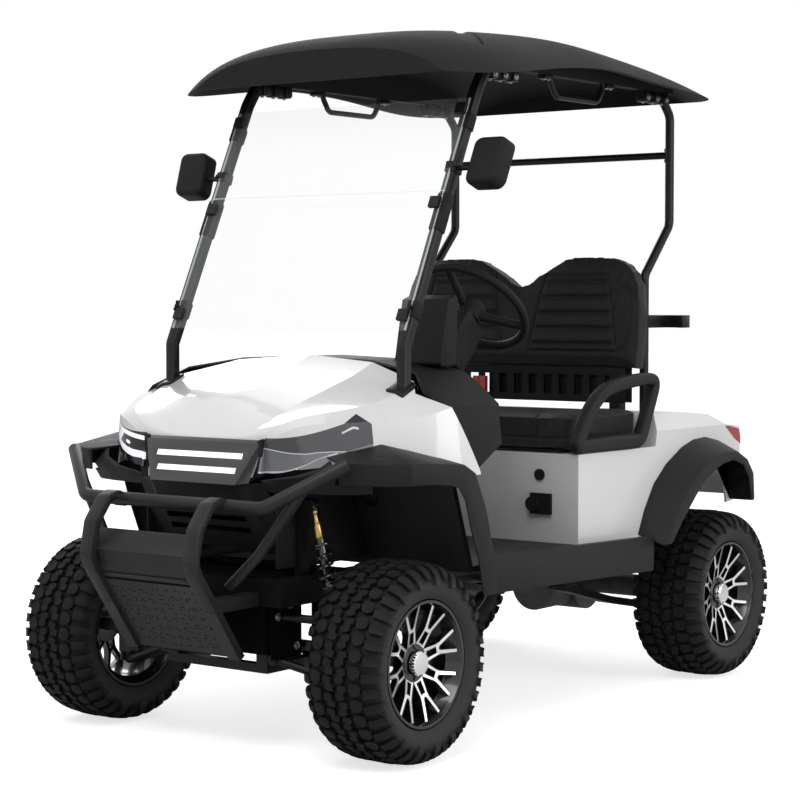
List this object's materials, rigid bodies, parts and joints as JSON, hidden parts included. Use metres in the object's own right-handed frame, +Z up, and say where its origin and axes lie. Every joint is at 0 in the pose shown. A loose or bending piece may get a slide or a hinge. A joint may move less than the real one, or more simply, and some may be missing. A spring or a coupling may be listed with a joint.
{
  "type": "golf cart",
  "caption": "Electric golf cart with canopy roof, windscreen, rear bag well, front brush guard and all-terrain tyres. Its wheels roll and steer, and its seat lifts over the battery.",
  "frame": {"origin": "on the ground, under the centre of the cart's bounding box", "axes": "+Z up, the cart drives towards -Y, its left (driver's) side is +X"},
  "size_m": [1.32, 2.47, 2.1101],
  "materials": {
    "chassis_black": "satin black",
    "shock_gold": "gold with black coil",
    "bare_steel": "bare",
    "cast_grey": "cast",
    "body_white": "gloss",
    "lamp_lens": "smoked lens",
    "gloss_black": "gloss",
    "strip_white": "lit strip",
    "trim_black": "moulded satin",
    "floor_mat": "ribbed mat",
    "grip_black": "soft grip",
    "lamp_red": "red lens",
    "battery_case": "moulded",
    "seat_vinyl": "vinyl grain",
    "buckle_red": "red button",
    "tube_black": "powder coat",
    "clear_screen": "clear acrylic",
    "roof_black": "grained",
    "guard_black": "textured powder coat",
    "tyre_rubber": "all-terrain tread",
    "wheel_finish": "gloss black with machined edges"
  },
  "bodies": {
    "chassis": {"frame": "chassis_black", "front_arms": "chassis_black", "shock_absorbers": "shock_gold", "steering_rack": "cast_grey", "rear_axle": "cast_grey", "leaf_springs": "chassis_black", "front_cowl": "body_white", "front_lamps": "lamp_lens", "light_bar_panel": "gloss_black", "light_strips": "strip_white", "bumper_cover": "trim_black", "front_flares": "trim_black", "rear_flares": "trim_black", "side_sills": "trim_black", "floor_pan": "floor_mat", "dashboard": "trim_black", "steering_column": "trim_black", "pedals": "grip_black", "rear_body": "body_white", "tail_lamps": "lamp_red", "bag_well": "trim_black", "battery_pack": "battery_case", "side_ports": "trim_black", "seat_back": "seat_vinyl", "seat_back_bracket": "trim_black", "belt_buckles": "buckle_red", "armrests": "trim_black", "front_struts": "tube_black", "windscreen_lower": "clear_screen", "windscreen_upper": "clear_screen", "windscreen_clips": "trim_black", "rear_struts": "tube_black", "roof": "roof_black", "grab_handles": "tube_black", "side_mirrors": "gloss_black", "brush_guard": "guard_black", "bag_rack": "tube_black"},
    "knuckle_left": {"knuckle_left": "chassis_black"},
    "knuckle_right": {"knuckle_right": "chassis_black"},
    "steering_wheel": {"steering_wheel": "grip_black"},
    "tie_rods": {"tie_rods": "bare_steel"},
    "seat_lid": {"seat_cushion": "seat_vinyl", "seat_pan": "trim_black"},
    "wheel_front_left": {"tyre_front_left": "tyre_rubber", "rim_front_left": "wheel_finish"},
    "wheel_front_right": {"tyre_front_right": "tyre_rubber", "rim_front_right": "wheel_finish"},
    "wheel_rear_left": {"tyre_rear_left": "tyre_rubber", "rim_rear_left": "wheel_finish"},
    "wheel_rear_right": {"tyre_rear_right": "tyre_rubber", "rim_rear_right": "wheel_finish"}
  },
  "joints": [
    {"name": "steer_left", "type": "hinge", "parent": "chassis", "child": "knuckle_left", "pos_m": [0.48, -0.7585, 0.28], "axis": [0, 0, 1], "range_deg": [-27, 27]},
    {"name": "steer_right", "type": "hinge", "parent": "chassis", "child": "knuckle_right", "pos_m": [-0.48, -0.7585, 0.28], "axis": [0, 0, 1], "range_deg": [-27, 27]},
    {"name": "rack_slide", "type": "slide", "parent": "chassis", "child": "tie_rods", "axis": [1, 0, 0], "range_m": [-0.038, 0.038]},
    {"name": "steering_wheel_turn", "type": "hinge", "parent": "chassis", "child": "steering_wheel", "pos_m": [0.3, -0.058, 1.25], "axis": [0, 0.6794, 0.7337], "range_deg": [-351, 351]},
    {"name": "seat_lid_hinge", "type": "hinge", "parent": "chassis", "child": "seat_lid", "pos_m": [0, 0.163, 0.799], "axis": [1, 0, 0], "range_deg": [0, 70]},
    {"name": "spin_front_left", "type": "hinge", "parent": "knuckle_left", "child": "wheel_front_left", "pos_m": [0.54, -0.7585, 0.28], "axis": [1, 0, 0], "continuous": true},
    {"name": "spin_front_right", "type": "hinge", "parent": "knuckle_right", "child": "wheel_front_right", "pos_m": [-0.54, -0.7585, 0.28], "axis": [1, 0, 0], "continuous": true},
    {"name": "spin_rear_left", "type": "hinge", "parent": "chassis", "child": "wheel_rear_left", "pos_m": [0.54, 0.9685, 0.28], "axis": [1, 0, 0], "continuous": true},
    {"name": "spin_rear_right", "type": "hinge", "parent": "chassis", "child": "wheel_rear_right", "pos_m": [-0.54, 0.9685, 0.28], "axis": [1, 0, 0], "continuous": true}
  ],
  "couplings": [
    {"joint": "steer_right", "follows": "steer_left", "ratio": 1},
    {"joint": "rack_slide", "follows": "steer_left", "m_per_rad": -0.08},
    {"joint": "steering_wheel_turn", "follows": "steer_left", "ratio": 13}
  ]
}
